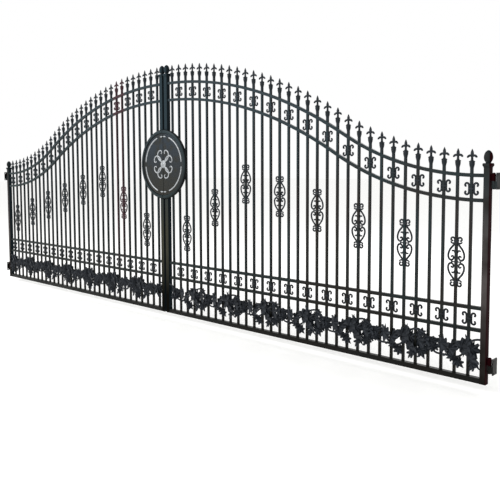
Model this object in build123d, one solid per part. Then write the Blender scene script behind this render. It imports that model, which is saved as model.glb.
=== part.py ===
"""Double-leaf wrought iron driveway gate with an ogee top, on four wall-plate hinges.

Millimetres, +Z up.  Each leaf is laid out from the centre line between the two leaves
(X = 0), the mid-plane of the ironwork (Y = 0) and the underside of the bottom rail
(Z = 0); the front is towards -Y.  The right leaf is drawn and the left one is its
mirror image.  Every piece is then moved so that the row's origin lies on the outer
face of the left lower wall plate.
"""
import os
from math import atan, cos, degrees, radians, sin, sqrt

from build123d import *

# ---------------------------------------------------------------- driving sizes
# Setting out of one leaf
picket_pitch = 101.6            # 4 in between picket centres
picket_count = 32               # pickets in one leaf
picket_size = 19.05             # 3/4 in square bar
stile_size = 44.45              # 1 3/4 in square tube, hinge and meeting stile
meeting_gap = 28.0              # between the two closed meeting stiles
stile_to_picket = 61.65          # meeting stile face to the first picket's centre
picket_to_stile = 91.65          # last picket's centre to the hinge stile face
punch_clearance = 0.25          # round a picket in a punched rail, each side

# Level rails
bottom_rail_size = 38.1
bottom_rail_floor = 3.0         # left under the pickets, which stand in blind punchings
rail_size = 25.4                # the four upper rails, square
band_lower_z = 368.0            # centre of the rail under the scroll band
band_upper_z = 520.5            # centre of the rail over the scroll band

# Ogee top: level at both stiles, convex at the centre, concave at the hinge side
crown_z = 2345.0                # upper rail centre at the meeting stile
shoulder_z = 1429.0             # upper rail centre at the hinge stile
crown_radius = 4200.0           # convex arc of the upper rail's centreline
top_band = 169.0                # between the two curved rails, square to the curve

# Spear heads
spear_rise = 180.0              # point above the upper rail's centre
spear_height = 129.0
urn_base_width = 20.0
urn_width = 40.0
urn_height = 36.0
urn_shoulder = 13.0
neck_width = 16.0
neck_height = 28.0
blade_width = 24.0
blade_thickness = 12.0
blade_shoulder = 20.0           # from the top of the neck to the blade's widest point
leaf_span = 76.0                # over the two drooping side leaves
leaf_drop = 5.0
leaf_rise = 13.0
spear_point = 2.0

# Castings on the pickets
casting_depth = 12.0
wing_height = 90.0
wing_reach = 47.0               # from the picket's centre
wing_drop_top = 8.0             # of the butterflies below the middle of the top band
wing_drop_bottom = 4.0
oval_height = 362.0
oval_reach = 59.0
oval_bar = 9.0
oval_every = 4                  # pickets from one oval to the next, from the third on
oval_step = 103.4               # change of height from one oval to the next
oval_peak_picket = 11
oval_peak_z = 1342.0
oval_inner_step = 208.5         # steeper, and steepening, fall towards the centre line
oval_inner_bend = 21.5

# Vine in the bottom panel
vine_bar = 8.0
vine_depth = 10.0
vine_z = 222.0
vine_swing = 78.0
vine_waves = 7
vine_facets = 12
vine_phase = 90.0               # degrees into a wave at the meeting stile, 90 at a crest
vine_leaf_length = 120.0
vine_leaf_width = 74.0

# Stile caps and finials
hinge_stile_rise = 51.0         # stile above the upper rail's centre
meeting_stile_rise = 67.0
cap_thickness = 32.0
cap_flare = 12.0                # height over which the cap widens from the stile
cap_overhang = 8.0
cap_chamfer = 4.0
finial_width = 62.0
finial_height = 87.0
finial_foot = 34.0

# Medallion, halved on the centre line
medallion_radius = 353.0
medallion_z = 1530.0
medallion_parting = 6.0
medallion_plate = 8.0
medallion_rim = 46.0
medallion_chamfer = 12.0
medallion_front = 44.0          # front edge of the rim, in front of the mid-plane
ring_radius = 288.0
ring_width = 12.0
ring_depth = 5.0
ring_gap_degrees = 4.0
rosette_boss_radius = 40.0
rosette_petal_radius = 75.0
rosette_petal_bar = 14.0
rosette_overlap = 3.0           # of each petal ring with the boss

# Hinges and wall plates
hinge_offset = 18.5             # axis outside the hinge stile's face
knuckle_radius = 13.0
knuckle_height = 56.0
thrust_gap = 0.3
pin_radius = 7.0
pin_clearance = 0.05
pin_height = 45.0
pin_end_gap = 2.0
lower_hinge_z = 137.5           # level of the joint between the two knuckles
upper_hinge_z = 1392.5
weld_width = 12.0
arm_width = 20.0
arm_height = 44.0
plate_standoff = 28.0           # axis to the plate's inner face
plate_thickness = 8.0
plate_width = 66.0
plate_height = 112.0
bolt_spacing_y = 42.0
bolt_spacing_z = 84.0
bolt_hole_radius = 5.5

seat_gap = 0.3                  # between a laid-on ornament and the ironwork behind it

# ---------------------------------------------------------------- derived places
meeting_face = meeting_gap / 2 + stile_size
first_picket = meeting_face + stile_to_picket
last_picket = first_picket + (picket_count - 1) * picket_pitch
hinge_face = last_picket + picket_to_stile
gate_half = hinge_face + stile_size
hinge_axis = gate_half + hinge_offset
wall_face = hinge_axis + plate_standoff + plate_thickness
picket_xs = [first_picket + i * picket_pitch for i in range(picket_count)]
turn = 2 * atan((crown_z - shoulder_z) / (hinge_face - meeting_face))
ogee_radii = (hinge_face - meeting_face) / sin(turn)
shoulder_radius = ogee_radii - crown_radius
hinge_stile_top = shoulder_z + hinge_stile_rise
meeting_stile_top = crown_z + meeting_stile_rise
to_origin = Pos(wall_face, 0, -lower_hinge_z)


# ---------------------------------------------------------------- the ogee
def ogee_z(x, below=0.0):
    """Height of the upper rail's centreline at x, or of its parallel curve below it."""
    inner = crown_radius - below
    outer = shoulder_radius + below
    run = x - meeting_face
    if run < inner * sin(turn):
        return crown_z - crown_radius + sqrt(inner**2 - run**2)
    run = hinge_face - x
    return shoulder_z + shoulder_radius - sqrt(outer**2 - run**2)


def ogee_edge(below):
    """The two tangent arcs of the ogee, a distance below the upper rail's centreline."""
    start = (meeting_face, crown_z - below)
    crown = JernArc(start=start, tangent=(1, 0), radius=crown_radius - below,
                    arc_size=-degrees(turn))
    shoulder = JernArc(start=crown @ 1, tangent=crown % 1, radius=shoulder_radius + below,
                       arc_size=degrees(turn))
    return Curve() + [crown, shoulder]


def curved_rail(below):
    """One square rail bent to the ogee and punched upright for every picket."""
    upper = ogee_edge(below - rail_size / 2)
    lower = ogee_edge(below + rail_size / 2)
    ends = [Line(upper @ 0, lower @ 0), Line(upper @ 1, lower @ 1)]
    profile = make_face(upper.edges() + lower.edges() + ends)
    bar = extrude(Plane.XZ * profile, amount=rail_size / 2, both=True)
    return bar - punchings(shoulder_z - 400, crown_z + 100)


# ---------------------------------------------------------------- rails and pickets
def punchings(low, high):
    """The square picket holes between two levels, each a clearance bigger than the bar."""
    hole = picket_size + 2 * punch_clearance
    cutter = Box(hole, hole, high - low, align=(Align.CENTER, Align.CENTER, Align.MIN))
    return [Pos(x, 0, low) * cutter for x in picket_xs]


def level_rail(size, z, floor=None):
    """A level rail between the stiles; with a floor, its punchings are blind."""
    length = hinge_face - meeting_face
    bar = Pos(meeting_face + length / 2, 0, z) * Box(length, size, size)
    low = z - size if floor is None else z - size / 2 + floor
    return bar - punchings(low, z + size)


def pickets():
    """All pickets of a leaf, from the bottom rail's floor to the foot of each spear."""
    bars = []
    for x in picket_xs:
        top = ogee_z(x) + spear_rise - spear_height
        bar = Box(picket_size, picket_size, top - bottom_rail_floor,
                  align=(Align.CENTER, Align.CENTER, Align.MIN))
        bars.append(Pos(x, 0, bottom_rail_floor) * bar)
    return Compound(bars)


def stile(face_x, top):
    """A square upright standing outwards from face_x."""
    return Pos(face_x + stile_size / 2, 0, top / 2) * Box(stile_size, stile_size, top)


# ---------------------------------------------------------------- castings
def outline_prism(levels, plane, depth):
    """A symmetric outline, half widths against height, drawn through in both directions."""
    right = [(half, z) for z, half in levels]
    left = [(-half, z) for z, half in reversed(levels)]
    outline = make_face(Polyline(*right, *left, close=True))
    return extrude(plane * outline, amount=depth, both=True)


def spear():
    """One spear head, standing on its foot: urn, neck, two drooping leaves and blade."""
    neck_foot = urn_height + urn_shoulder
    neck_top = neck_foot + neck_height
    shoulder = neck_top + blade_shoulder
    stem = [
        (0, urn_base_width / 2),
        (urn_height, urn_width / 2),
        (neck_foot, neck_width / 2),
        (neck_top, neck_width / 2),
    ]
    leaf = [
        (neck_top - leaf_drop, leaf_span * 0.40),
        (neck_top, leaf_span / 2),
        (neck_top + leaf_rise, leaf_span * 0.34),
    ]
    tip = [(spear_height, spear_point / 2)]
    front = outline_prism(stem + leaf + [(shoulder, blade_width / 2)] + tip, Plane.XZ, urn_width)
    side = outline_prism(stem + [(shoulder, blade_thickness / 2)] + tip, Plane.YZ, leaf_span)
    return front & side


def spear_heads():
    """A spear head on every picket."""
    head = spear()
    return Compound([Pos(x, 0, ogee_z(x) + spear_rise - spear_height) * head for x in picket_xs])


def flat_casting(points, depth=casting_depth):
    """A closed outline in the plane of the gate, given depth about the mid-plane."""
    outline = make_face(Polyline(*points, close=True))
    return extrude(Plane.XZ * outline, amount=depth / 2, both=True)


def wing():
    """The right half of one butterfly scroll, from the picket's side outwards."""
    side = picket_size / 2
    high = wing_height / 2
    upper = [
        (side, high * 0.62),
        (wing_reach * 0.62, high),
        (wing_reach, high * 0.72),
        (wing_reach * 0.80, high * 0.42),
        (wing_reach * 0.45, high * 0.16),
    ]
    lower = [(x, -z) for x, z in reversed(upper)]
    return flat_casting(upper + lower)


def butterfly_row(level):
    """Butterfly scrolls on every second picket; level gives their centre height at x."""
    right = wing()
    left = mirror(right, about=Plane.YZ)
    row = []
    for x in picket_xs[1::2]:
        row += [Pos(x, 0, level(x)) * right, Pos(x, 0, level(x)) * left]
    return Compound(row)


def ribbon_outline(points, width):
    """The outline of a bar of even width along a run of points."""
    sides = [[], []]
    for i, (x, z) in enumerate(points):
        before = points[max(i - 1, 0)]
        after = points[min(i + 1, len(points) - 1)]
        along = Vector(after[0] - before[0], after[1] - before[1]).normalized()
        across = Vector(-along.Y, along.X) * (width / 2)
        sides[0].append((x + across.X, z + across.Y))
        sides[1].append((x - across.X, z - across.Y))
    return sides[0] + sides[1][::-1]


def oval_half():
    """The right half of one oval casting: two teardrops that meet at a waist."""
    high = oval_height / 2
    out = oval_reach - oval_bar / 2
    foot = (picket_size + oval_bar) / 2
    drop = [
        (foot, high),
        (out * 0.62, high * 0.80),
        (out, high * 0.50),
        (out * 0.86, high * 0.24),
        (foot, 0.0),
    ]
    path = drop + [(x, -z) for x, z in reversed(drop[:-1])]
    return flat_casting(ribbon_outline(path, oval_bar))


def oval_level(number):
    """Centre height of the oval on a picket, counted from the meeting stile."""
    if number >= oval_peak_picket:
        return oval_peak_z - oval_step * (number - oval_peak_picket) / oval_every
    steps = (oval_peak_picket - number) / oval_every
    return oval_peak_z - oval_inner_step * steps - oval_inner_bend * steps**2


def ovals():
    """The row of oval castings, each in two halves against the sides of its picket."""
    right = oval_half()
    left = mirror(right, about=Plane.YZ)
    row = []
    for number in range(3, picket_count + 1, oval_every):
        place = Pos(picket_xs[number - 1], 0, oval_level(number))
        row += [place * right, place * left]
    return Compound(row)


def vine_height(x):
    """Height of the waving stem's centreline at x."""
    wave = (hinge_face - meeting_face) / vine_waves
    return vine_z + vine_swing * sin(radians(360 * (x - meeting_face) / wave + vine_phase))


def vine_leaf(x, way, size):
    """The outline of one pointed leaf that grows from the stem at x, upwards or downwards."""
    foot = vine_height(x)
    half = vine_leaf_width / 2 * size
    levels = [(0, 0.12), (0.22, 0.86), (0.34, 0.62), (0.52, 1.0), (0.66, 0.56), (0.76, 0.62)]
    high = vine_leaf_length * size * way
    right = [(x + half * w, foot + high * z) for z, w in levels]
    left = [(x - half * w, foot + high * z) for z, w in reversed(levels)]
    return right + [(x, foot + high)] + left


def vine():
    """Stem and leaves laid on the front of the pickets in the bottom panel."""
    steps = vine_waves * vine_facets
    length = hinge_face - meeting_face
    xs = [meeting_face + length * i / steps for i in range(steps + 1)]
    outline = make_face(
        Polyline(*ribbon_outline([(x, vine_height(x)) for x in xs], vine_bar), close=True))
    crest = meeting_face + length / vine_waves * (90 - vine_phase) / 360
    for wave in range(vine_waves):
        for place, way, size in ((0.10, -1, 0.8), (0.38, 1, 1.0), (0.56, 1, 0.9), (0.74, 1, 0.9), (0.93, -1, 1.1)):
            x = crest + length / vine_waves * (wave + place)
            outline += make_face(Polyline(*vine_leaf(x, way, size), close=True))
    front = -(picket_size / 2 + seat_gap + vine_depth / 2)
    panel = Pos(meeting_face + length / 2, front, vine_z) * Box(length, length, length)
    return (Pos(0, front, 0) * extrude(Plane.XZ * outline, amount=vine_depth / 2, both=True)) & panel


# ---------------------------------------------------------------- caps and finials
def stile_cap():
    """A square cap that flares out from the stile's four faces to a chamfered slab."""
    inner = stile_size / 2
    outer = inner + cap_overhang
    levels = [
        (0, inner),
        (cap_flare, outer),
        (cap_thickness - cap_chamfer, outer),
        (cap_thickness, outer - cap_chamfer),
    ]
    front = outline_prism(levels, Plane.XZ, outer)
    side = outline_prism(levels, Plane.YZ, outer)
    return front & side


def finial():
    """An egg on a short neck, turned about the stile's axis."""
    foot = finial_foot / 2
    wide = finial_width / 2
    high = finial_height
    profile = [
        (0, 0),
        (foot, 0),
        (foot * 1.1, high * 0.08),
        (wide * 0.88, high * 0.24),
        (wide, high * 0.44),
        (wide * 0.90, high * 0.66),
        (wide * 0.62, high * 0.86),
        (wide * 0.30, high * 0.97),
        (0, high),
    ]
    return revolve(Plane.XZ * make_face(Polyline(*profile, close=True)), Axis.Z)


def stile_caps():
    """The cap and finial, cast in one, on each of the two stiles."""
    casting = stile_cap() + Pos(0, 0, cap_thickness) * finial()
    hinge_place = Pos(hinge_face + stile_size / 2, 0, hinge_stile_top)
    meeting_place = Pos(meeting_face - stile_size / 2, 0, meeting_stile_top)
    return Compound([hinge_place * casting, meeting_place * casting])


# ---------------------------------------------------------------- medallion
def upright_disc(radius, back, front):
    """A disc about the medallion's centre, between two distances in front of Y = 0."""
    disc = Cylinder(radius, front - back, rotation=(90, 0, 0))
    return Pos(0, -(front + back) / 2, medallion_z) * disc


def right_half():
    """Everything to the right of the parting line."""
    reach = 2 * medallion_radius
    return Pos(medallion_parting / 2 + reach / 2, 0, medallion_z) * Box(reach, reach, reach)


def medallion_dish():
    """Half of the dished plate, whose rim reaches back to the pickets round the stile."""
    plate_back = stile_size / 2 + seat_gap
    picket_front = picket_size / 2 + seat_gap
    inside = medallion_radius - medallion_rim
    dish = upright_disc(medallion_radius, picket_front, medallion_front)
    dish = chamfer(dish.edges().sort_by(Axis.Y)[0], medallion_chamfer)
    dish -= upright_disc(inside, plate_back + medallion_plate, medallion_front + 1)
    dish -= upright_disc(inside, 0, plate_back)
    stile_room = stile_size + 2 * seat_gap
    notch = Box(stile_room, 2 * plate_back, 4 * medallion_radius)
    dish -= Pos(meeting_face - stile_size / 2, 0, medallion_z) * notch
    return dish & right_half()


def medallion_ring():
    """The two raised quarter rings of a half, open towards top, side and bottom."""
    seat = stile_size / 2 + seat_gap + medallion_plate
    ring = upright_disc(ring_radius + ring_width / 2, seat, seat + ring_depth)
    ring -= upright_disc(ring_radius - ring_width / 2, seat - 1, seat + ring_depth + 1)
    gap = 2 * ring_radius * sin(radians(ring_gap_degrees))
    cross = Box(4 * ring_radius, 4 * medallion_front, gap)
    for angle in (0, 90):
        ring -= Pos(0, 0, medallion_z) * Rot(0, angle, 0) * cross
    return Compound((ring & right_half()).solids())


def medallion_rosette():
    """Half of the raised four-petal rosette: a half boss and two petal rings."""
    seat = stile_size / 2 + seat_gap + medallion_plate
    front = seat + ring_depth
    rosette = upright_disc(rosette_boss_radius, seat, front)
    reach = rosette_boss_radius + rosette_petal_radius - rosette_overlap
    petal = upright_disc(rosette_petal_radius, seat, front)
    petal -= upright_disc(rosette_petal_radius - rosette_petal_bar, seat - 1, front + 1)
    for angle in (45, -45):
        x = reach * cos(radians(angle))
        z = reach * sin(radians(angle))
        rosette += Pos(x, 0, z) * petal
    return rosette & right_half()


# ---------------------------------------------------------------- hinges
def leaf_knuckle(joint_z):
    """The turning half of a bullet hinge, welded to the hinge stile."""
    body = Cylinder(knuckle_radius, knuckle_height, align=(Align.CENTER, Align.CENTER, Align.MIN))
    body = chamfer(body.faces().sort_by(Axis.Z)[-1].edges(), knuckle_radius / 3)
    weld = Box(hinge_offset, weld_width, knuckle_height * 0.8,
               align=(Align.MAX, Align.CENTER, Align.MIN))
    bore = Cylinder(pin_radius + pin_clearance, 2 * (pin_height + pin_end_gap))
    return Pos(hinge_axis, 0, joint_z + thrust_gap) * (body + weld - bore)


def leaf_knuckles():
    """Both turning halves of one leaf."""
    return Compound([leaf_knuckle(lower_hinge_z), leaf_knuckle(upper_hinge_z)])


def wall_bracket(joint_z):
    """The fixed half: wall plate, arm and lower knuckle turned in one with its pin."""
    down = (Align.CENTER, Align.CENTER, Align.MAX)
    knuckle = Cylinder(knuckle_radius, knuckle_height, align=down)
    pin = Cylinder(pin_radius, pin_height, align=(Align.CENTER, Align.CENTER, Align.MIN))
    arm = Box(plate_standoff, arm_width, arm_height, align=(Align.MIN, Align.CENTER, Align.CENTER))
    plate = Box(plate_thickness, plate_width, plate_height,
                align=(Align.MIN, Align.CENTER, Align.CENTER))
    plate = Pos(plate_standoff, 0, 0) * plate
    hole = Rot(0, 90, 0) * Cylinder(bolt_hole_radius, 4 * plate_thickness)
    for dy in (-bolt_spacing_y / 2, bolt_spacing_y / 2):
        for dz in (-bolt_spacing_z / 2, bolt_spacing_z / 2):
            plate -= Pos(plate_standoff + plate_thickness / 2, dy, dz) * hole
    bracket = knuckle + pin + Pos(0, 0, -knuckle_height / 2) * arm + plate
    return Pos(hinge_axis, 0, joint_z) * bracket


def wall_brackets():
    """Both fixed halves of one leaf."""
    return Compound([wall_bracket(lower_hinge_z), wall_bracket(upper_hinge_z)])


# ---------------------------------------------------------------- the assembly
def top_band_level(x):
    """Centre height of the butterflies between the two curved rails."""
    return (ogee_z(x) + ogee_z(x, top_band)) / 2 - wing_drop_top


def bottom_band_level(x):
    """Centre height of the butterflies between the two level band rails."""
    return (band_lower_z + band_upper_z) / 2 - wing_drop_bottom


leaf_pieces = {
    "hinge_stile": stile(hinge_face, hinge_stile_top),
    "meeting_stile": stile(meeting_face - stile_size, meeting_stile_top),
    "bottom_rail": level_rail(bottom_rail_size, bottom_rail_size / 2, bottom_rail_floor),
    "band_lower_rail": level_rail(rail_size, band_lower_z),
    "band_upper_rail": level_rail(rail_size, band_upper_z),
    "curved_lower_rail": curved_rail(top_band),
    "curved_upper_rail": curved_rail(0.0),
    "pickets": pickets(),
    "spear_heads": spear_heads(),
    "top_butterflies": butterfly_row(top_band_level),
    "bottom_butterflies": butterfly_row(bottom_band_level),
    "oval_castings": ovals(),
    "vine": vine(),
    "stile_caps": stile_caps(),
    "medallion_dish": medallion_dish(),
    "medallion_ring": medallion_ring(),
    "medallion_rosette": medallion_rosette(),
    "hinge_knuckles": leaf_knuckles(),
    "wall_brackets": wall_brackets(),
}

os.makedirs("parts", exist_ok=True)
for name, piece in leaf_pieces.items():
    export_step(to_origin * piece, f"parts/right_{name}.step")
    export_step(to_origin * mirror(piece, about=Plane.YZ), f"parts/left_{name}.step")
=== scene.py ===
"""Ornament, finishes and studio for the double-leaf wrought iron driveway gate."""
from math import ceil, cos, pi, radians, sin

import bmesh
import bpy
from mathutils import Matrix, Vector


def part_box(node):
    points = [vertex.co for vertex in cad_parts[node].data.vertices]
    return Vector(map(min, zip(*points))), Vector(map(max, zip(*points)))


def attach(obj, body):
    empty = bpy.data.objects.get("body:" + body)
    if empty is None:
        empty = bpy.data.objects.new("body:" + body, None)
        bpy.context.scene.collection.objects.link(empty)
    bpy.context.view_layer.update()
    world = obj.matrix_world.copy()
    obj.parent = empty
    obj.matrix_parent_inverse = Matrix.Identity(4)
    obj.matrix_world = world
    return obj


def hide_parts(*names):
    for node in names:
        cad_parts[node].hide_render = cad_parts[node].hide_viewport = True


bl_info = {
    "name": "Wrought iron driveway gate",
    "version": (1, 0, 0),
    "blender": (4, 5, 0),
    "location": "3D View > Sidebar > Gate",
    "description": "Castings, finishes and studio for a double-leaf ogee-topped gate",
    "category": "Object",
}

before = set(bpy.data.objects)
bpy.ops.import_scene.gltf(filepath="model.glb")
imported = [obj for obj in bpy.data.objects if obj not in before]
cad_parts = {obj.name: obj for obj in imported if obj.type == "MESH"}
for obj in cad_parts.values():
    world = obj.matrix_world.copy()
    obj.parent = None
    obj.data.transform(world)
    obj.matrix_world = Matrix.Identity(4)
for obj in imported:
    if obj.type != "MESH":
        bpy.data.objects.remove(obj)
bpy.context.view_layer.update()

MM = 0.001
SAME_POINT = 0.01 * MM          # points nearer than this are one
LAID_ON = 0.3                   # mm between a laid-on casting and the ironwork behind it
SPEAR_HEIGHT = 129              # mm
KNUCKLE_HEIGHT = 56             # mm
OXIDE_DEPTH = 7 * MM            # how far in the primer shows from the outer side of a stile

CENTRE = (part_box("right_meeting_stile")[0].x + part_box("left_meeting_stile")[1].x) / 2
PICKETS_LOW, PICKETS_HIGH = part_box("right_pickets")
PICKET = PICKETS_HIGH.y - PICKETS_LOW.y
PICKET_COUNT = 32
PITCH = (PICKETS_HIGH.x - PICKETS_LOW.x - PICKET) / (PICKET_COUNT - 1)
PICKET_FRONT = PICKETS_LOW.y


# ---------------------------------------------------------------- sizes and colours
def length(name, default, description):
    return bpy.props.FloatProperty(
        name=name, description=description, default=default * MM, min=0.0, unit="LENGTH",
        precision=4,
    )


def colour(name, default, description):
    return bpy.props.StringProperty(name=name, description=description, default=default)


class GateSizes(bpy.types.PropertyGroup):
    spear_depth: length("Spear leaf depth", 12, "Thickness of a spear's drooping leaves")
    scroll_depth: length("Scroll depth", 12, "Thickness of the scroll bars, front to back")
    butterfly_bar: length("Butterfly bar", 16, "Width of the bar at the butterfly's back")
    oval_bar: length("Oval bar", 15, "Width of the bar round the oval castings")
    stem_width: length("Vine stem", 16, "Width of the vine's stem")
    leaf_size: length("Vine leaf", 136, "Length of the leaf that the others are scaled from")
    edge_softness: length("Edge softness", 1.2, "Rounding of the rolled bars' edges")
    floor_gap: length("Floor gap", 60, "Room between the floor and the bottom rail")


class GateColours(bpy.types.PropertyGroup):
    enamel: colour("Enamel", "#0B0D0E", "Black enamel on rails and pickets")
    # the cool and warm front colours are the sky's reflection painted on the fronts of the bars
    front_reflection_cool: colour("Enamel, cool", "#232F31", "Front of the bars, leaning green-blue")
    enamel_thin: colour("Enamel, thin", "#43282E", "Two pickets that the primer tints")
    front_reflection_warm: colour("Enamel, warm", "#2A2725", "Front of the bars, leaning brown")
    # the stile front colours are the sky's reflection painted on the fronts, the side colour
    # painted shade; the chalking named below is this painted reflection
    stile: colour("Stile enamel", "#2F3B41", "Chalked front of the meeting stiles, top rails")
    hinge_front_reflection: colour("Hinge stile enamel", "#565150", "Mauve-grey front of the hinge stiles")
    stile_olive: colour("Stile enamel, olive", "#3C3C33", "Stiles below the medallion")
    stile_side: colour("Stile sides", "#1B2226", "Sides and back of the stiles")
    stile_low: colour("Stile enamel, low", "#0C0B08", "Front of the stiles near the ground")
    oxide: colour("Red oxide", "#22060A", "Primer on the outer side of the hinge stiles")
    casting: colour("Casting enamel", "#0A0C0F", "Blue-black enamel on the castings")
    # the casting colour near the top, named chalked, is the sky's reflection painted paler
    # higher up; the worn colour is real wear on raised parts and painted light on the fronts
    casting_sky_reflection: colour("Casting enamel, high", "#262D31", "Chalked castings near the top")
    casting_wear_and_sheen: colour("Worn casting", "#30343A", "Raised parts of the castings")
    # darker towards the bottom of the gate
    low_darkening: colour("Grime", "#0E0D09", "Road grime low on the gate")
    dust: colour("Dust", "#2B2A22", "Dust on the medallion's face")
    slate: colour("Slate enamel", "#2C3742", "Face of the medallion")
    # the medallion's warmer foot is a painted reflection of the ground
    slate_ground_reflection: colour("Slate enamel, low", "#27251D", "Face of the medallion towards its foot")
    silver: colour("Silver paint", "#B6BABD", "Ring and rosette")
    silver_dry: colour("Silver paint, dry", "#909497", "Streaks where the brush ran dry")
    floor: colour("Floor", "#F3F3F1", "Floor and backdrop")


# ---------------------------------------------------------------- working the mesh
def take(*objects):
    """Selects these objects alone, the first one active."""
    if bpy.context.mode != "OBJECT":
        bpy.ops.object.mode_set(mode="OBJECT")
    bpy.ops.object.select_all(action="DESELECT")
    for thing in objects:
        thing.select_set(True)
    if objects:
        bpy.context.view_layer.objects.active = objects[0]


def edit(thing):
    """Opens one object in edit mode with everything in it selected."""
    take(thing)
    bpy.ops.object.mode_set(mode="EDIT")
    bpy.ops.mesh.select_mode(type="VERT")
    bpy.ops.mesh.select_all(action="SELECT")


def pick(thing, kind, test):
    """Selects the vertices, edges or faces whose middle and normal pass a test."""
    bpy.ops.mesh.select_mode(type=kind)
    bpy.ops.mesh.select_all(action="DESELECT")
    mesh = bmesh.from_edit_mesh(thing.data)
    for part in {"VERT": mesh.verts, "EDGE": mesh.edges, "FACE": mesh.faces}[kind]:
        corners = [part] if kind == "VERT" else part.verts
        middle = sum((v.co for v in corners), Vector()) / len(corners)
        normal = sum((v.normal for v in corners), Vector()) if kind == "EDGE" else part.normal
        if test(middle, normal):
            part.select_set(True)
    mesh.select_flush_mode()
    bmesh.update_edit_mesh(thing.data)


def close_up(thing):
    """Merges doubled points, turns every face outwards and leaves edit mode."""
    edit(thing)
    bpy.ops.mesh.remove_doubles(threshold=SAME_POINT)
    bpy.ops.mesh.normals_make_consistent(inside=False)
    bpy.ops.object.mode_set(mode="OBJECT")


def fix(thing):
    """Puts the object's place, turn and scale into its mesh."""
    take(thing)
    bpy.ops.object.transform_apply(location=True, rotation=True, scale=True)


def apply_modifier(thing, kind, **settings):
    take(thing)
    modifier = thing.modifiers.new(kind.title(), kind)
    for key, value in settings.items():
        setattr(modifier, key, value)
    bpy.ops.object.modifier_apply(modifier=modifier.name)


def join(*things):
    take(*things)
    bpy.ops.object.join()
    return bpy.context.object


def copy_at(master, offset, turn=0.0, size=1.0):
    """One copy of a piece, turned in the plane of the gate and moved."""
    take(master)
    bpy.ops.object.duplicate()
    made = bpy.context.object
    made.rotation_euler = (0, -radians(turn), 0)
    made.scale = (size, 1.0, size)
    made.location = offset
    fix(made)
    return made


def discard(*things):
    for thing in things:
        bpy.data.objects.remove(thing)


def named(thing, name):
    thing.name = thing.data.name = name
    return thing


def forge(start, heading, width, depth, runs, y=0.0, open_start=False):
    """A bar drawn out along a chain of bends in the plane of the gate.

    start is (x, z) in millimetres and heading the way the bar sets off, in degrees
    from +X towards +Z.  A run is (radius, degrees, width): a bend to the left where the
    degrees are positive, to the right where they are negative; or (length, width): a
    straight stretch.  The width changes evenly along each run, which is cut into steps
    of so many degrees or millimetres at the most.
    """
    arc_degrees, arc_length, straight_length = 20, 12, 30
    x, z = start
    take()
    bpy.ops.mesh.primitive_circle_add(
        vertices=8, radius=0.5, fill_type="NGON",
        location=(x * MM, y * MM, z * MM), rotation=(0, pi / 2 - radians(heading), 0),
    )
    bar = bpy.context.object
    bar.scale = (width * MM, depth * MM, 1)
    fix(bar)
    edit(bar)
    for run in runs:
        if len(run) == 3:
            radius, turn, end_width = run
            steps = ceil(max(abs(turn) / arc_degrees, abs(radians(turn)) * radius / arc_length))
        else:
            stretch, end_width = run
            radius, turn, steps = 0, 0, ceil(stretch / straight_length)
        taper = (end_width / width) ** (1 / steps)
        for _ in range(steps):
            if turn:
                side = 1 if turn > 0 else -1
                cx = x - side * radius * sin(radians(heading))
                cz = z + side * radius * cos(radians(heading))
                bpy.ops.mesh.spin(
                    steps=1, angle=radians(turn) / steps, axis=(0, 1, 0),
                    center=(cx * MM, y * MM, cz * MM),
                )
                heading += turn / steps
                x = cx + side * radius * sin(radians(heading))
                z = cz - side * radius * cos(radians(heading))
            else:
                dx = stretch / steps * cos(radians(heading))
                dz = stretch / steps * sin(radians(heading))
                bpy.ops.mesh.extrude_region_move(
                    TRANSFORM_OT_translate={"value": (dx * MM, 0, dz * MM)}
                )
                x, z = x + dx, z + dz
            bpy.ops.transform.resize(
                value=(taper, taper**0.5, taper), center_override=(x * MM, y * MM, z * MM)
            )
        width = end_width
    if open_start:
        begun = Vector((start[0] * MM, y * MM, start[1] * MM))
        pick(bar, "FACE", lambda middle, normal: (middle - begun).length < 0.05 * MM)
        bpy.ops.mesh.delete(type="FACE")
    close_up(bar)
    return bar


def turned(profile, centre, axis, sides):
    """A shape turned on a lathe; profile holds (radius, distance along the axis) in mm."""
    centre, axis = Vector(centre), Vector(axis)
    points = [centre + Vector((r, 0, 0)) * MM + axis * h * MM for r, h in profile]
    take()
    bpy.ops.mesh.primitive_plane_add(size=MM, location=points[0])
    thing = bpy.context.object
    fix(thing)
    edit(thing)
    bpy.ops.mesh.merge(type="CENTER")
    for here, there in zip(points, points[1:]):
        bpy.ops.mesh.extrude_vertices_move(TRANSFORM_OT_translate={"value": there - here})
    bpy.ops.mesh.select_all(action="SELECT")
    bpy.ops.mesh.spin(steps=sides, angle=2 * pi, center=centre, axis=axis)
    close_up(thing)
    return thing


def block(size, centre, soft):
    """A cast block with rounded edges; size and centre in millimetres."""
    take()
    bpy.ops.mesh.primitive_cube_add(size=1, location=[c * MM for c in centre])
    thing = bpy.context.object
    thing.scale = [s * MM for s in size]
    fix(thing)
    edit(thing)
    bpy.ops.mesh.bevel(offset=soft * MM, segments=2, affect="EDGES")
    close_up(thing)
    return thing


def smooth(thing, angle):
    take(thing)
    bpy.ops.object.shade_smooth_by_angle(angle=radians(angle))


# ---------------------------------------------------------------- placing
def picket_x(number):
    return PICKETS_LOW.x + PICKET / 2 + (number - 1) * PITCH


def places(node, first, every):
    """(x, lowest z, highest z) of each casting of a CAD node, along the right leaf."""
    found = {}
    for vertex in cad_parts[node].data.vertices:
        number = round((vertex.co.x - picket_x(first)) / (every * PITCH))
        low, high = found.get(number, (vertex.co.z, vertex.co.z))
        found[number] = (min(low, vertex.co.z), max(high, vertex.co.z))
    return [(picket_x(first + every * n), *found[n]) for n in sorted(found)]


def row_of(master, offsets, name):
    """Copies of a piece at each offset, joined into one."""
    return named(join(*[copy_at(master, offset) for offset in offsets]), name)


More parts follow.
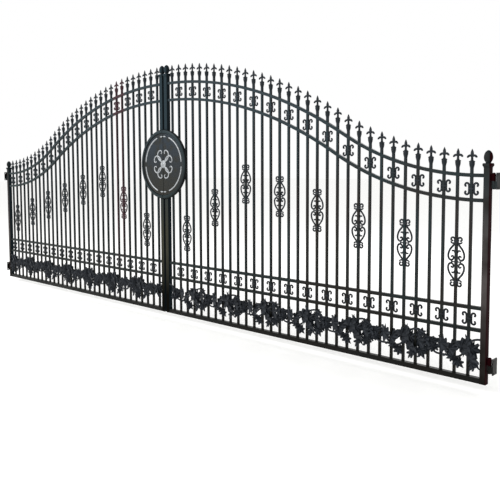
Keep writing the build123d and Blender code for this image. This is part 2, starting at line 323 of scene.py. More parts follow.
def mirrored(piece, name):
    """The same piece for the left leaf."""
    take(piece)
    bpy.ops.object.duplicate()
    made = named(bpy.context.object, name)
    edit(made)
    bpy.ops.transform.resize(value=(-1, 1, 1), center_override=(CENTRE, 0, 0))
    bpy.ops.mesh.flip_normals()
    bpy.ops.object.mode_set(mode="OBJECT")
    return made


def coat(piece, *finishes):
    piece.data.materials.clear()
    for made in finishes:
        piece.data.materials.append(made)


def hang(piece, node):
    """Makes the left leaf's piece from the right one and lets both ride on their leaves."""
    for leaf, thing in (("right", piece), ("left", mirrored(piece, "left_" + piece.name[6:]))):
        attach(thing, leaf + "_leaf")
        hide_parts(leaf + "_" + node)


# ---------------------------------------------------------------- finishes
def linear(hex_colour):
    """An sRGB hex colour as the linear one that shaders take."""
    parts = [int(hex_colour[i : i + 2], 16) / 255 for i in (1, 3, 5)]
    return [p / 12.92 if p <= 0.04045 else ((p + 0.055) / 1.055) ** 2.4 for p in parts] + [1.0]


def add_node(tree, kind, settings=None, links=None):
    """Adds a node, sets its values and sockets, and links its inputs."""
    made = tree.nodes.new(kind)
    for key, value in (settings or {}).items():
        if isinstance(key, str) and hasattr(made, key):
            setattr(made, key, value)
        else:
            made.inputs[key].default_value = value
    for key, socket in (links or {}).items():
        tree.links.new(socket, made.inputs[key])
    return made


def new_material(name):
    material = bpy.data.materials.new(name)
    material.use_nodes = True
    tree = material.node_tree
    shader = tree.nodes["Principled BSDF"]
    coordinates = add_node(tree, "ShaderNodeTexCoord").outputs["Object"]
    return material, tree, shader, coordinates


def fade(tree, vector, axis, start, end, least=0.0, most=1.0):
    """A mask that goes from its least to its most between two places along an axis."""
    along = add_node(tree, "ShaderNodeSeparateXYZ", links={"Vector": vector}).outputs[axis]
    return add_node(
        tree, "ShaderNodeMapRange",
        {"From Min": start, "From Max": end, "To Min": least, "To Max": most}, {"Value": along},
    ).outputs["Result"]


def fade_up(tree, coordinates, start, end, most=1.0):
    """A mask that grows from none at one height to its most at another, in metres."""
    return fade(tree, coordinates, "Z", start, end, 0.0, most)


def painted_light_front(tree, least=-0.55, most=-0.9):
    """A mask of the faces towards the front, where the sky's light and reflection are painted.
    """
    normal = add_node(tree, "ShaderNodeNewGeometry").outputs["Normal"]
    return fade(tree, normal, "Y", least, most)


def folded(tree, coordinates, line):
    """Coordinates whose X is how far the surface lies to either side of an upright line."""
    moved = add_node(
        tree, "ShaderNodeVectorMath", {"operation": "SUBTRACT", 1: (line, 0, 0)},
        {0: coordinates},
    )
    return add_node(
        tree, "ShaderNodeVectorMath", {"operation": "ABSOLUTE"}, {0: moved.outputs[0]}
    ).outputs[0]


def patches(tree, coordinates, millimetres, low, high, detail=3.0):
    """A soft patchy mask, its patches about so many millimetres across."""
    cloud = add_node(
        tree, "ShaderNodeTexNoise", {"Scale": 1 / MM / millimetres, "Detail": detail},
        {"Vector": coordinates},
    ).outputs["Fac"]
    return add_node(
        tree, "ShaderNodeMapRange", {"From Min": low, "From Max": high}, {"Value": cloud}
    ).outputs["Result"]


def layered(tree, body, *coats):
    """Lays coats on a body colour, each as thick as the masks after its colour, multiplied."""
    for paint, cover, *masks in coats:
        for mask in masks:
            cover = add_node(
                tree, "ShaderNodeMath", {"operation": "MULTIPLY"}, {0: cover, 1: mask}
            ).outputs[0]
        settings, links = {"data_type": "RGBA"}, {0: cover}
        for place, value in ((6, body), (7, paint)):
            if isinstance(value, str):
                settings[place] = linear(value)
            else:
                links[place] = value
        body = add_node(tree, "ShaderNodeMix", settings, links).outputs[2]
    return body


def relief(tree, shader, vector, millimetres, detail, strength, height):
    """Fine bumps in the coat, so many millimetres apart and so many high."""
    bumps = add_node(
        tree, "ShaderNodeTexNoise", {"Scale": 1 / MM / millimetres, "Detail": detail},
        {"Vector": vector},
    ).outputs["Fac"]
    bump = add_node(
        tree, "ShaderNodeBump", {"Strength": strength, "Distance": height * MM},
        {"Height": bumps},
    )
    tree.links.new(bump.outputs["Normal"], shader.inputs["Normal"])


def brush_marks(tree, shader, coordinates):
    """Marks of a brush drawn along upright bars."""
    # they are under a millimetre apart; drawn at 4 mm so that they show
    stretched = add_node(
        tree, "ShaderNodeMapping", {"Scale": (1.0, 1.0, 0.06)}, {"Vector": coordinates}
    ).outputs["Vector"]
    relief(tree, shader, stretched, 4, 2.0, 0.25, 0.6)


def enamelled(tree, shader, body, wear, smoothest, dullest, specular):
    """Gives the shader its colour and a sheen that dulls where the mask of wear is high."""
    tree.links.new(body, shader.inputs["Base Color"])
    sheen = add_node(
        tree, "ShaderNodeMapRange", {"To Min": smoothest, "To Max": dullest}, {"Value": wear}
    ).outputs["Result"]
    tree.links.new(sheen, shader.inputs["Roughness"])
    shader.inputs["IOR"].default_value = 1.5
    shader.inputs["Specular IOR Level"].default_value = specular


def thin_coat(tree, coordinates):
    """Masks of the seventh and eighth pickets of the left leaf, and of all but their feet."""
    between = 2 * CENTRE - (picket_x(7) + picket_x(8)) / 2
    near = fade(tree, folded(tree, coordinates, between), "X", 1.15 * PITCH, 0.9 * PITCH)
    return near, fade_up(tree, coordinates, 0.25, 0.6, 0.85)


def bar_enamel(colours):
    """Enamel, brushed over primed wrought iron and weathered to a satin.

    To the eye: near black; the fronts painted lighter as the sky's reflection, in clouds
    that lean green-blue or, on the right leaf, brown, and bluer and paler towards the top,
    the sides left near black as painted shade; dark red on two pickets, where the coat is
    thin; faint brush marks along the bars; darker towards the bottom rail.
    """
    material, tree, shader, coordinates = new_material("satin_enamel_on_iron")
    cast = patches(tree, coordinates, 650, 0.42, 0.6, 1.0)
    warmer_on_right = fade(tree, coordinates, "X", CENTRE - 0.5, CENTRE + 1.5, 0.25)
    high = fade_up(tree, coordinates, 1.1, 1.9, 0.8)
    # darker towards the bottom rail
    low = fade_up(tree, coordinates, 0.75, 0.05, 0.92)
    # the sky's reflection painted on the fronts: green-blue clouds, browner on the right leaf,
    # bluer and paler high up
    painted_front_reflection = layered(
        tree, colours.front_reflection_cool,
        (colours.front_reflection_warm, cast, warmer_on_right),
        (colours.stile, high),
        (colours.enamel_thin, *thin_coat(tree, coordinates)),
    )
    # the painted reflection goes on the fronts only; the sides keep the near black as painted
    # shade
    body = layered(
        tree, colours.enamel, (painted_front_reflection, painted_light_front(tree)), (colours.low_darkening, low)
    )
    chalk = patches(tree, coordinates, 170, 0.4, 0.66)
    enamelled(tree, shader, body, chalk, 0.3, 0.5, 0.1)
    brush_marks(tree, shader, coordinates)
    return material


def stile_enamel(colours):
    """The same enamel on smooth drawn tube, over red-oxide primer.

    To the eye: the front painted lighter as the sky's reflection, blue-grey on the meeting
    stiles and mauve-grey on the hinge stiles, olive lower down; near black on the sides, a
    painted shade, and towards the ground; and the primer showing dark red on the outer side
    of the hinge stiles.
    """
    material, tree, shader, coordinates = new_material("satin_enamel_over_oxide_primer")
    out = folded(tree, coordinates, CENTRE)
    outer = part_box("right_hinge_stile")[1].x - CENTRE
    hinge = fade(tree, out, "X", outer - 0.3, outer - 0.2)
    bare = fade(tree, out, "X", outer - OXIDE_DEPTH, outer - 1 * MM)
    chalk = patches(tree, coordinates, 260, 0.38, 0.66)
    # the front's painted sky reflection: blue-grey, olive lower down, mauve-grey and cooler
    # higher up on the hinge stiles, near black towards the ground
    front = layered(
        tree, colours.stile,
        (colours.stile_olive, fade_up(tree, coordinates, 1.5, 0.7)),
        (colours.hinge_front_reflection, hinge),
        (colours.front_reflection_cool, hinge, fade_up(tree, coordinates, 0.75, 1.25, 0.8)),
        (colours.stile_low, fade_up(tree, coordinates, 0.5, 0.05)),
        (colours.front_reflection_warm, chalk, hinge),
    )
    # the reflection goes on the front only; the sides and back keep the darker side colour as
    # painted shade
    body = layered(
        tree, colours.stile_side, (front, painted_light_front(tree)), (colours.oxide, bare)
    )
    enamelled(tree, shader, body, chalk, 0.34, 0.5, 0.008)
    brush_marks(tree, shader, coordinates)
    return material


def casting_enamel(colours):
    """The same enamel over sand-cast iron.

    To the eye: blue-black and a little grainy, painted paler towards the top as the sky's
    reflection; the paint pools, so the black is deeper in the hollows, and rubs greyer on
    what stands proud; greyer clouds on the fronts are painted light.
    """
    material, tree, shader, coordinates = new_material("satin_enamel_on_cast_iron")
    chalk = patches(tree, coordinates, 45, 0.4, 0.6)
    edges = add_node(tree, "ShaderNodeNewGeometry").outputs["Pointiness"]
    proud = add_node(
        tree, "ShaderNodeMapRange", {"From Min": 0.51, "From Max": 0.64, "To Max": 0.6},
        {"Value": edges},
    ).outputs["Result"]
    body = layered(
        tree, colours.casting,
        # painted reflection of the sky, paler higher up
        (colours.casting_sky_reflection, fade_up(tree, coordinates, 0.2, 1.2, 0.75)),
        (colours.casting_wear_and_sheen, proud),
        # painted light: greyer clouds on the faces towards the front
        (colours.casting_wear_and_sheen, chalk, painted_light_front(tree, -0.8, -0.98)),
        (colours.enamel_thin, *thin_coat(tree, coordinates)),
    )
    enamelled(tree, shader, body, chalk, 0.28, 0.44, 0.12)
    # sand grain is about 0.4 mm; drawn at 3 mm so that it shows
    relief(tree, shader, coordinates, 3.0303, 3.0, 0.35, 0.8)
    return material


def slate_enamel(colours):
    """Satin slate-grey enamel, sprayed on the medallion's plate.

    To the eye: an even blue-grey satin, painted warmer and browner towards the foot as the
    ground's reflection, with a fine orange-peel skin and a few dusty clouds.
    """
    material, tree, shader, coordinates = new_material("satin_slate_enamel")
    low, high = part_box("right_medallion_dish")
    clouds = patches(tree, coordinates, 60, 0.45, 0.75, 6.0)
    body = layered(
        tree, colours.slate,
        # painted reflection of the ground towards the foot
        (colours.slate_ground_reflection, fade_up(tree, coordinates, high.z, low.z)),
        (colours.dust, clouds),
    )
    enamelled(tree, shader, body, clouds, 0.36, 0.52, 0.14)
    # orange peel is about 2 mm from crest to crest
    relief(tree, shader, coordinates, 2, 1.0, 0.12, 0.4)
    return material


def silver_paint(colours):
    """Aluminium-flake silver paint, brushed by hand on the raised ornament.

    To the eye: light grey with a soft metallic lift, streaked where the brush ran dry.
    """
    material, tree, shader, coordinates = new_material("aluminium_flake_paint")
    streaks = patches(tree, coordinates, 14, 0.35, 0.75, 5.0)
    body = layered(tree, colours.silver, (colours.silver_dry, streaks))
    enamelled(tree, shader, body, streaks, 0.34, 0.5, 0.5)
    shader.inputs["Metallic"].default_value = 0.35
    # flakes are far too fine to show; drawn at 2.5 mm as the brushed texture over them
    relief(tree, shader, coordinates, 2.5, 2.0, 0.2, 0.5)
    return material


def finish(name, maker):
    """The finish of that name, made on first use."""
    return bpy.data.materials.get(name) or maker(bpy.context.scene.gate_colours)


def iron_finish():
    return finish("satin_enamel_on_iron", bar_enamel)


def stile_finish():
    return finish("satin_enamel_over_oxide_primer", stile_enamel)


def cast_finish():
    return finish("satin_enamel_on_cast_iron", casting_enamel)


# ---------------------------------------------------------------- the pieces
class GATE_OT_bars(bpy.types.Operator):
    """Softens the edges of stiles, rails, pickets and wall brackets and enamels them"""

    bl_idname = "gate.bars"
    bl_label = "Bars and brackets"

    def execute(self, context):
        kept = (
            "hinge_stile", "meeting_stile", "bottom_rail", "band_lower_rail",
            "band_upper_rail", "curved_lower_rail", "curved_upper_rail", "pickets",
            "wall_brackets",
        )
        for leaf in ("left_", "right_"):
            for name in kept:
                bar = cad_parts[leaf + name]
                for slot in bar.material_slots:
                    slot.material = stile_finish() if "stile" in name else iron_finish()
                weld = bar.modifiers.new("Weld", "WELD")
                weld.merge_threshold = SAME_POINT
                soften = bar.modifiers.new("Soften", "BEVEL")
                soften.width = context.scene.gate_sizes.edge_softness
                soften.segments = 2
                soften.limit_method = "ANGLE"
                soften.angle_limit = radians(40)
                soften.use_clamp_overlap = True
        return {"FINISHED"}


class GATE_OT_spears(bpy.types.Operator):
    """Models one spear head with its urn and drooping leaves and sets it on every picket"""

    bl_idname = "gate.spears"
    bl_label = "Spear heads"

    def execute(self, context):
        depth = context.scene.gate_sizes.spear_depth / MM
        stem = turned(
            [(0, -20), (11.2, -20), (10.6, -16), (11.4, -8), (13.6, 2), (16.4, 12), (18.4, 21),
             (19, 30), (18.2, 36), (20.6, 39.5), (21, 43), (18, 45.8), (12.4, 48.6), (9, 53),
             (8.2, 60), (8.2, 72), (9.4, 82), (11, 90), (12, 97), (11.2, 104), (8.8, 112),
             (5.4, 120), (2, 126.4), (0.6, 128.5), (0, 128.8)],
            (0, 0, 0), (0, 0, 1), 12,
        )
        # the blade is flattened front to back, more and more towards its point
        for above, flatten in ((75, 0.92), (84, 0.86), (92, 0.86)):
            edit(stem)
            pick(stem, "VERT", lambda middle, normal: middle.z > above * MM)
            bpy.ops.transform.resize(value=(1, flatten, 1), center_override=(0, 0, 0))
        close_up(stem)
        leaf = forge(
            (2, 76), 60, 16, depth,
            [(13, -45, 16.5), (18, -50, 17), (14, -35, 17.5), (9.4, -16, 16), (9, -16, 11)],
        )
        apply_modifier(leaf, "MIRROR", use_mirror_merge=False)
        master = join(stem, leaf)
        smooth(master, 50)
        spots = places("right_spear_heads", 1, 1)
        offsets = [(x, 0, high - SPEAR_HEIGHT * MM) for x, _, high in spots]
        heads = row_of(master, offsets, "right_spears")
        discard(master)
        coat(heads, cast_finish())
        hang(heads, "spear_heads")
        return {"FINISHED"}


class GATE_OT_butterflies(bpy.types.Operator):
    """Models one butterfly scroll and sets it on every second picket of both bands"""

    bl_idname = "gate.butterflies"
    bl_label = "Butterfly scrolls"

    def execute(self, context):
        sizes = context.scene.gate_sizes
        bar, depth = sizes.butterfly_bar / MM, sizes.scroll_depth / MM
        curl = forge(
            (PICKET / MM / 2 + 8, 0), 90, bar, depth,
            [(15.5, bar), (60, -9, bar - 0.5), (18, -45, bar - 1), (13.4, -95, bar - 1),
             (9.8, -50, bar), (8.6, -45, bar + 1), (8.2, -30, 10)],
            open_start=True,
        )
        apply_modifier(curl, "MIRROR", use_axis=(True, False, True), merge_threshold=0.05 * MM)
        collar = block((45, 21, 16), (0, 0, 0), 4)
        knots = [block((37, 19, 9), (0, 0, z), 3) for z in (-20, 20)]
        master = join(curl, collar, *knots)
        smooth(master, 50)
        for band in ("top", "bottom"):
            node = band + "_butterflies"
            spots = places("right_" + node, 2, 2)
            offsets = [(x, 0, (low + high) / 2) for x, low, high in spots]
            scrolls = row_of(master, offsets, f"right_{band}_scrolls")
            coat(scrolls, cast_finish())
            hang(scrolls, node)
        discard(master)
        return {"FINISHED"}


class GATE_OT_ovals(bpy.types.Operator):
    """Models one oval casting of two hearts and sets it on every fourth picket"""

    bl_idname = "gate.ovals"
    bl_label = "Oval castings"

    def execute(self, context):
        sizes = context.scene.gate_sizes
        bar, depth = sizes.oval_bar / MM, sizes.scroll_depth / MM
        quarter = [
            # the rib of the heart, which meets the other heart at the waist and curls in
            forge(
                (9, 139), -64, bar, depth,
                [(14, bar), (60, 14, bar), (24, bar), (90, -36, bar), (42, -30, bar),
                 (21, -44, bar), (18, -60, bar - 1), (18, -70, bar - 1.5),
                 (7.4, -100, bar - 2), (7.2, -50, bar - 1), (7, -30, 9)],
            ),
            # the curl above the collar
            forge(
                (10, 142), 84, bar - 0.5, depth,
                [(15.5, bar - 0.5), (15.5, -85, bar - 1), (13, -90, bar - 1.5),
                 (10.5, -40, bar - 1), (8, -60, bar), (7.6, -30, 9)],
            ),
            # the barb under the curl
            forge(
                (8, 132), -8, bar, depth * 0.8,
                [(13, 13), (24, 38, 12), (8, 60, 11), (6, 20, 7)],
            ),
            # the sprig inside the heart
            forge(
                (6, 58), 62, 11, depth * 0.7,
                [(18, 11.5), (8.5, -70, 12.5), (7.6, -50, 14.5), (7.4, -30, 9)],
            ),
        ]
        rib = join(*quarter)
        apply_modifier(rib, "MIRROR", use_axis=(True, False, True), use_mirror_merge=False)
        collars = [block((36, 21, 12), (0, 0, z), 3.5) for z in (-148, 148)]
        collars += [block((29, 20, 10), (0, 0, z), 3) for z in (-136, 136, 0)]
        collars.append(block((76, 9, 9), (0, 0, 0), 2.5))
        master = join(rib, *collars)
        smooth(master, 50)
        spots = places("right_oval_castings", 3, 4)
        offsets = [(x, 0, (low + high) / 2) for x, low, high in spots]
        ovals = row_of(master, offsets, "right_ovals")
        discard(master)
        coat(ovals, cast_finish())
        hang(ovals, "oval_castings")
        return {"FINISHED"}


def vine_leaf(size):
    """One lobed leaf, its stalk at the origin and its tip upwards, cupped towards the back."""
    heart = Vector((0, 0, 0.48 * size))
    take()
    bpy.ops.mesh.primitive_circle_add(
        vertices=24, radius=0.5 * size, fill_type="TRIFAN",
        location=heart, rotation=(pi / 2, 0, 0),
    )
    leaf = bpy.context.object
    fix(leaf)
    edit(leaf)
    # degrees from the tip, drawn in or out, and pushed back in mm: tip, sinuses, lobes, stalk
    for degrees, reach, back in (
        ((0,), 1.12, 10), ((15,), 0.8, 8), ((30, 75, 120), 0.64, 11), ((45, 90), 0.94, 1),
        ((60, 105), 1.02, 3), ((135,), 0.9, 2), ((150,), 0.84, 8), ((165,), 0.52, 9),
        ((180,), 0.96, 2),
    ):
        pick(
            leaf, "VERT",
            lambda middle, normal: (middle - heart).length > 0.45 * size
            and any(abs((middle - heart).angle((0, 0, 1)) - radians(d)) < 0.1 for d in degrees),
        )
        bpy.ops.transform.translate(value=(0, back * MM, 0))
        bpy.ops.transform.resize(value=(reach, 1, reach), center_override=heart)
    pick(leaf, "VERT", lambda middle, normal: (middle - heart).length < 0.1 * size)
    bpy.ops.transform.translate(value=(0, -6 * MM, -0.06 * size))
    apply_modifier(leaf, "SOLIDIFY", thickness=3.5 * MM, offset=-1.0)
    close_up(leaf)
    return leaf


def leaves_at(leaf, spots, front, sill):
    """Copies of the master leaf, each at its spot along a bay of the vine.

    A spot is the stalk as pickets from the crest and height above the sill, the way the
    leaf points, its length and breadth beside the master leaf's, its roll and how far
    forward it lies.
    """
    made, stalk = [], (0, 0, 0)
    for along, height, way, length, breadth, roll, forward in spots:
        turned_leaf = copy_at(leaf, stalk, 0, length)
        edit(turned_leaf)
        bpy.ops.transform.resize(value=(breadth, 1, 1), center_override=stalk)
        bpy.ops.transform.rotate(value=radians(roll), orient_axis="Z", center_override=stalk)
        place = (along * PITCH, (front - forward) * MM, (sill + height) * MM)
        made.append(copy_at(turned_leaf, place, way - 90))
        discard(turned_leaf)
    return made


class GATE_OT_vine(bpy.types.Operator):
    """Models one bay of the vine, stem, leaves and tendrils, and repeats it along the panel"""

    bl_idname = "gate.vine"
    bl_label = "Vine"

    def execute(self, context):
        sizes = context.scene.gate_sizes
        width = sizes.stem_width / MM
        low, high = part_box("right_vine")
        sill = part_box("right_bottom_rail")[0].z / MM
        bays = 7
        bay = (high.x - low.x) / bays / MM
        front = PICKET_FRONT / MM - 6
        crest = sill + 300
        # the stem falls from its crest on two bends with a straight between them, runs
        # along a level sag and climbs to the next crest in the same way
        down, shoulder, fall, foot = 65, 80, 60, 75
        up, heel, rise, brow = 70, 70, 30, 115.2
        sag = bay - ((shoulder + foot) * sin(radians(down)) + fall * cos(radians(down)))
        sag -= (heel + brow) * sin(radians(up)) + rise * cos(radians(up))
        thin = width * 0.9
        parts = [
            forge(
                (0, crest), 0, width, 11,
                [(shoulder, -down, width), (fall, thin), (foot, down, width), (sag, width),
                 (heel, up, thin), (rise, thin), (brow, -up, width)],
                y=front,
            )
        ]
        leaf = vine_leaf(sizes.leaf_size)
        parts += leaves_at(
            leaf,
            (
                (4.28, 304, -107, 1.28, 0.74, 19, 3), (0.44, 298, -78, 1.04, 0.74, -28, 2),
                (1.10, 268, -112, 0.82, 0.74, 30, 4), (1.94, 304, -97, 1.12, 0.92, -20, 4),
                (2.06, 158, 48, 1.14, 0.72, 26, 2), (2.84, 196, 40, 1.12, 0.74, -25, 1),
                (3.42, 160, 80, 1.24, 0.70, 24, 4), (3.62, 214, -52, 1.14, 0.72, -26, 4),
                (1.00, 180, 204, 0.60, 0.80, 20, 2), (1.42, 150, 112, 0.88, 0.76, -28, 3),
                (2.66, 158, -40, 0.80, 0.72, 26, 2), (4.06, 232, 122, 0.78, 0.76, 22, 3),
                (0.66, 224, 20, 0.76, 0.72, -24, 4), (3.06, 158, 200, 0.70, 0.76, 26, 3),
                (4.34, 172, -118, 0.84, 0.72, -22, 3),
            ),
            front, sill,
        )
        # these lie over the joint of two bays and are left out beside the stiles
        over_joint = join(
            *leaves_at(
                leaf,
                (
                    (0.04, 296, -84, 1.16, 0.72, -24, 4), (-0.04, 196, -60, 0.88, 0.74, 24, 2),
                    (-0.30, 262, 24, 0.74, 0.74, 24, 1),
                ),
                front, sill,
            )
        )
        discard(leaf)
        step = PITCH / MM
        parts += [
            # tendrils: out of the shoulder, up from the sag, and looped under the crest
            forge((0.6 * step, sill + 262), -20, 9, 8,
                  [(60, -70, 6), (34, -60, 5.5), (14, -80, 6), (9, -60, 6)], y=front - 3),
            forge((2.0 * step, sill + 146), 22, 10, 9,
                  [(95, 62, 7), (46, -50, 6), (16, -120, 6), (9, -60, 6)], y=front - 2),
            forge((3.2 * step, sill + 238), 250, 10, 9,
                  [(80, -28, 7), (60, -40, 7), (22, -60, 6), (10, -60, 6)], y=front - 1),
        ]
        master = join(*parts)
        smooth(master, 28)
        smooth(over_joint, 28)
        offsets = [(low.x + i * bay * MM, 0, 0) for i in range(bays)]
        vine = join(
            row_of(master, offsets, "right_vine_casting"),
            row_of(over_joint, offsets[1:], "joints"),
        )
        discard(master, over_joint)
        coat(vine, cast_finish())
        hang(vine, "vine")
        return {"FINISHED"}


class GATE_OT_caps(bpy.types.Operator):
    """Models one stile cap with its egg finial and sets it on each stile"""

    bl_idname = "gate.caps"
    bl_label = "Stile caps"

    def execute(self, context):
        stile_low, stile_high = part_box("right_meeting_stile")
        side = (stile_high.x - stile_low.x) / MM
        take()
        bpy.ops.mesh.primitive_plane_add(size=side * MM)
        cap = bpy.context.object
        edit(cap)
        half, height = side / 2, 0
        for level, reach in (
            (3, 23.6), (8, 24.6), (12, 27.4), (14.5, 29.2), (26, 29.2), (29.5, 27.8),
            (31.8, 24),
        ):
            bpy.ops.mesh.extrude_region_move(
                TRANSFORM_OT_translate={"value": (0, 0, (level - height) * MM)}
            )
            bpy.ops.transform.resize(
                value=(reach / half, reach / half, 1), center_override=(0, 0, level * MM)
            )
            half, height = reach, level
        close_up(cap)
        apply_modifier(
            cap, "BEVEL", width=1.2 * MM, segments=2, limit_method="ANGLE",
            angle_limit=radians(30),
        )
        egg = turned(
            [(0, 29), (18.5, 29), (19.5, 31.5), (18.6, 33.6), (17, 35), (18.6, 38.5),
             (22.8, 44.5), (26.8, 52.5), (29.4, 62), (30, 72), (29, 83), (26.2, 93.5),
             (21.6, 103), (15.6, 110.4), (9.2, 115.6), (4, 118.3), (0, 118.9)],
            (0, 0, 0), (0, 0, 1), 28,
        )
        master = join(cap, egg)
        smooth(master, 45)
        offsets = []
        for stile in ("right_hinge_stile", "right_meeting_stile"):
            stile_low, stile_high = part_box(stile)
            offsets.append(((stile_low.x + stile_high.x) / 2, 0, stile_high.z))
        caps = row_of(master, offsets, "right_caps")
        discard(master)
        coat(caps, stile_finish())
        hang(caps, "stile_caps")
        return {"FINISHED"}


def halve(thing, parting):
    """Keeps what is right of the parting line and closes the cut."""
    edit(thing)
    bpy.ops.mesh.bisect(
        plane_co=(parting, 0, 0), plane_no=(1, 0, 0), use_fill=True, clear_inner=True
    )
    close_up(thing)


class GATE_OT_medallion(bpy.types.Operator):
    """Models the dished medallion with its ring and rosette and halves it on the centre line"""

    bl_idname = "gate.medallion"
    bl_label = "Medallion"

    def execute(self, context):
        low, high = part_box("right_medallion_dish")
        parting = low.x
        radius = (high.x - CENTRE) / MM
        centre = Vector((CENTRE, 0, (low.z + high.z) / 2))
        front, back = -low.y / MM, -high.y / MM
        plate = -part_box("right_medallion_ring")[1].y / MM
        stile_low, stile_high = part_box("right_meeting_stile")
        plate_back = -stile_low.y / MM + LAID_ON
        inner = radius - 45
        dish = turned(
            [(0, plate - 0.6), (inner - 60, plate - 0.6), (inner - 6, plate),
             (inner, plate + 0.4), (inner + 3, plate + 2.8), (inner + 9, front - 1),
             (inner + 16, front), (radius - 17, front - 0.6), (radius - 8, front - 4.5),
             (radius - 1.6, front - 11), (radius, front - 20), (radius - 1, back + 3),
             (radius - 4, back), (radius - 16, back), (radius - 18, back + 2),
             (radius - 20, plate_back), (0, plate_back)],
            centre, (0, -1, 0), 96,
        )
        halve(dish, parting)
        take()
        bpy.ops.mesh.primitive_cube_add(
            size=1, location=((stile_low.x + stile_high.x) / 2, 0, centre.z)
        )
        notch = bpy.context.object
        room = stile_high.x - stile_low.x + 2 * LAID_ON * MM
        notch.scale = (room, 2 * plate_back * MM, 4 * radius * MM)
        fix(notch)
        apply_modifier(dish, "BOOLEAN", object=notch, operation="DIFFERENCE", solver="EXACT")
        discard(notch)
        close_up(dish)
        smooth(dish, 35)
        named(dish, "right_dish")
        coat(dish, finish("satin_slate_enamel", slate_enamel), iron_finish())
        edit(dish)
        rim, face = (inner + 4) * MM, -(plate_back + 0.1) * MM
        pick(
            dish, "FACE",
            lambda middle, normal: (middle - centre).xz.length > rim or middle.y > face,
        )
        dish.active_material_index = 1
        bpy.ops.object.material_slot_assign()
        bpy.ops.object.mode_set(mode="OBJECT")
        hang(dish, "medallion_dish")

        silver = finish("aluminium_flake_paint", silver_paint)
        across = (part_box("right_medallion_ring")[1].x - CENTRE) / MM - 11
        cx, cz = centre.x / MM, centre.z / MM
        depth, seat = 9, -(plate + 0.2)
        arcs = []
        # where each arc of the ring starts and how far it runs, in degrees
        for first, sweep in ((89, -8), (72, -67.5), (-4.5, -67.5), (-81, -8)):
            x = cx + across * cos(radians(first))
            z = cz + across * sin(radians(first))
            runs = [
                (across, -1, 12), (across, -1.5, 15), (across, sweep + 5, 15),
                (across, -1.5, 12), (across, -1, 6),
            ]
            arcs.append(forge((x, z), first - 90, 5, 6, runs, y=seat))
        ring = named(join(*arcs), "right_ring")
        smooth(ring, 60)
        coat(ring, silver)
        hang(ring, "medallion_ring")

        boss = turned(
            [(0, plate + 6), (10, plate + 5.6), (15, plate + 4), (17.5, plate + 2.4),
             (21, plate + 3.6), (29, plate + 4.8), (36, plate + 3.6), (40, plate), (0, plate)],
            centre, (0, -1, 0), 40,
        )
        halve(boss, parting)
        petals = []
        for way in (1, -1):
            foot = (cx + 27, cz + 27 * way)
            for lean, side in ((12, 1), (78, -1)):
                # half of a heart-shaped petal; the two halves meet on the diagonal
                runs = [
                    (bend, turn * side * way, width)
                    for bend, turn, width in (
                        (75, 70, 14), (45, 100, 12.5), (20, 90, 10.5), (13.5, 60, 13),
                        (8.5, 40, 7),
                    )
                ]
                petals.append(forge(foot, lean * way, 10, depth, runs, y=seat))
            # the pointed tongue between them
            petals.append(
                forge(
                    (cx + 25, cz + 25 * way), 45 * way, 9, depth - 1,
                    [(20, 14), (15, 11), (20, 3)], y=seat,
                )
            )
        rosette = named(join(boss, *petals), "right_rosette")
        smooth(rosette, 50)
        coat(rosette, silver)
        hang(rosette, "medallion_rosette")
        return {"FINISHED"}


class GATE_OT_hinges(bpy.types.Operator):
    """Models the turning half of one bullet hinge and sets both on each leaf"""

    bl_idname = "gate.hinges"
    bl_label = "Hinge knuckles"

    def execute(self, context):
        low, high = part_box("right_hinge_knuckles")
        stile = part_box("right_hinge_stile")[1].x
        radius = (high.y - low.y) / 2 / MM
        axis = high.x - radius * MM
        bore = 7.05
        barrel = turned(
            [(bore, 0), (radius - 0.8, 0), (radius, 0.8), (radius, 40), (radius - 0.8, 47),
             (radius - 3.6, 52.5), (radius - 8, 55.2), (0, KNUCKLE_HEIGHT), (0, 47),
             (bore, 47), (bore, 0)],
            (axis, 0, 0), (0, 0, 1), 24,
        )
        reach = (axis - stile) / MM
        weld = [
            block((reach - 3, 5, 44), (stile / MM + reach / 2 - 1.5, side * 7.5, 23), 2.2)
            for side in (-1, 1)
        ]
        web = block((reach - 8, 12, 45), (stile / MM + reach / 2 - 4, 0, 23), 1.5)
        master = join(barrel, web, *weld)
        smooth(master, 40)
        offsets = [(0, 0, low.z), (0, 0, high.z - KNUCKLE_HEIGHT * MM)]
        knuckles = row_of(master, offsets, "right_knuckles")
        discard(master)
        coat(knuckles, stile_finish())
        hang(knuckles, "hinge_knuckles")
        return {"FINISHED"}


def straight_rays(tree):
    """Whether a ray comes from the camera, a reflection or through glass."""
    path = add_node(tree, "ShaderNodeLightPath").outputs
    either = path["Is Camera Ray"]
    for ray in ("Is Glossy Ray", "Is Transmission Ray"):
        either = add_node(
            tree, "ShaderNodeMath", {"operation": "MAXIMUM"}, {0: either, 1: path[ray]}
        ).outputs[0]
    return either


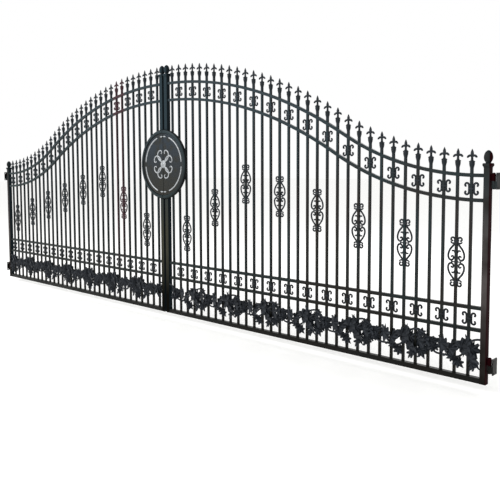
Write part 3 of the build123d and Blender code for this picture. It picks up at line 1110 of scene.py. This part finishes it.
class GATE_OT_stage(bpy.types.Operator):
    """Sets the floor, the soft studio light and the camera"""

    bl_idname = "gate.stage"
    bl_label = "Studio"

    def execute(self, context):
        scene = context.scene
        sizes, colours = scene.gate_sizes, scene.gate_colours
        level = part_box("right_bottom_rail")[0].z - sizes.floor_gap
        take()
        bpy.ops.mesh.primitive_plane_add(size=160, location=(CENTRE, 0, level))
        floor = named(context.object, "floor")
        fix(floor)
        paint = bpy.data.materials.new("matt_white_floor")
        paint.use_nodes = True
        tree = paint.node_tree
        shader = tree.nodes["Principled BSDF"]
        shader.inputs["Base Color"].default_value = linear(colours.floor)
        shader.inputs["Roughness"].default_value = 0.9
        shader.inputs["Specular IOR Level"].default_value = 0.1
        lift = add_node(tree, "ShaderNodeEmission", {"Strength": 0.3})
        nothing = add_node(tree, "ShaderNodeEmission", {"Strength": 0.0})
        lift = add_node(
            tree, "ShaderNodeMixShader",
            links={0: straight_rays(tree), 1: nothing.outputs[0], 2: lift.outputs[0]},
        )
        total = add_node(
            tree, "ShaderNodeAddShader", links={0: shader.outputs[0], 1: lift.outputs[0]}
        )
        tree.links.new(total.outputs[0], tree.nodes["Material Output"].inputs["Surface"])
        floor.data.materials.append(paint)

        world = bpy.data.worlds.new("studio")
        scene.world = world
        world.use_nodes = True
        tree = world.node_tree
        background = tree.nodes["Background"]
        background.inputs["Color"].default_value = (1, 1, 1, 1)
        background.inputs["Strength"].default_value = 0.72
        seen = add_node(tree, "ShaderNodeBackground", {"Color": (1, 1, 1, 1), "Strength": 1.0})
        mix = add_node(
            tree, "ShaderNodeMixShader",
            links={0: straight_rays(tree), 1: background.outputs[0], 2: seen.outputs[0]},
        )
        tree.links.new(mix.outputs[0], tree.nodes["World Output"].inputs["Surface"])

        # the sky from the front left, a fill from the right and a rim from behind
        for place, watts, size in (
            ((-1.5, -9.0, 7.5), 700, 6.0), ((9.0, -8.0, 4.0), 60, 4.0),
            ((3.5, 7.0, 6.0), 200, 5.0),
        ):
            aim = Vector((CENTRE, 0, 1.0)) - Vector(place)
            bpy.ops.object.light_add(
                type="AREA", location=place, rotation=aim.to_track_quat("-Z", "Y").to_euler()
            )
            context.object.data.energy = watts
            context.object.data.size = size

        pitch, roll, yaw = pi / 2 - 0.0702, 0.0035, 0.7554
        bpy.ops.object.camera_add(
            location=(CENTRE + 5.215, -4.274, 1.3385), rotation=(pitch, roll, yaw)
        )
        scene.camera = context.object
        lens = scene.camera.data
        lens.sensor_width = 36
        lens.lens = 46.8
        lens.shift_y = -0.07
        lens.clip_end = 500
        scene.view_settings.view_transform = "Standard"
        return {"FINISHED"}


OPERATORS = (
    GATE_OT_bars, GATE_OT_spears, GATE_OT_butterflies, GATE_OT_ovals, GATE_OT_vine,
    GATE_OT_caps, GATE_OT_medallion, GATE_OT_hinges, GATE_OT_stage,
)


class GATE_PT_panel(bpy.types.Panel):
    """The gate's sizes, colours and pieces"""

    bl_label = "Driveway gate"
    bl_space_type = "VIEW_3D"
    bl_region_type = "UI"
    bl_category = "Gate"

    def draw(self, context):
        for group in (context.scene.gate_sizes, context.scene.gate_colours):
            box = self.layout.box()
            for name in type(group).__annotations__:
                box.prop(group, name)
        for operator in OPERATORS:
            self.layout.operator(operator.bl_idname)


CLASSES = (GateSizes, GateColours, *OPERATORS, GATE_PT_panel)


def register():
    for made in CLASSES:
        bpy.utils.register_class(made)
    bpy.types.Scene.gate_sizes = bpy.props.PointerProperty(type=GateSizes)
    bpy.types.Scene.gate_colours = bpy.props.PointerProperty(type=GateColours)


def unregister():
    del bpy.types.Scene.gate_colours
    del bpy.types.Scene.gate_sizes
    for made in reversed(CLASSES):
        bpy.utils.unregister_class(made)


def main():
    register()
    for operator in OPERATORS:
        group, name = operator.bl_idname.split(".")
        getattr(getattr(bpy.ops, group), name)()


if __name__ == "__main__":
    main()
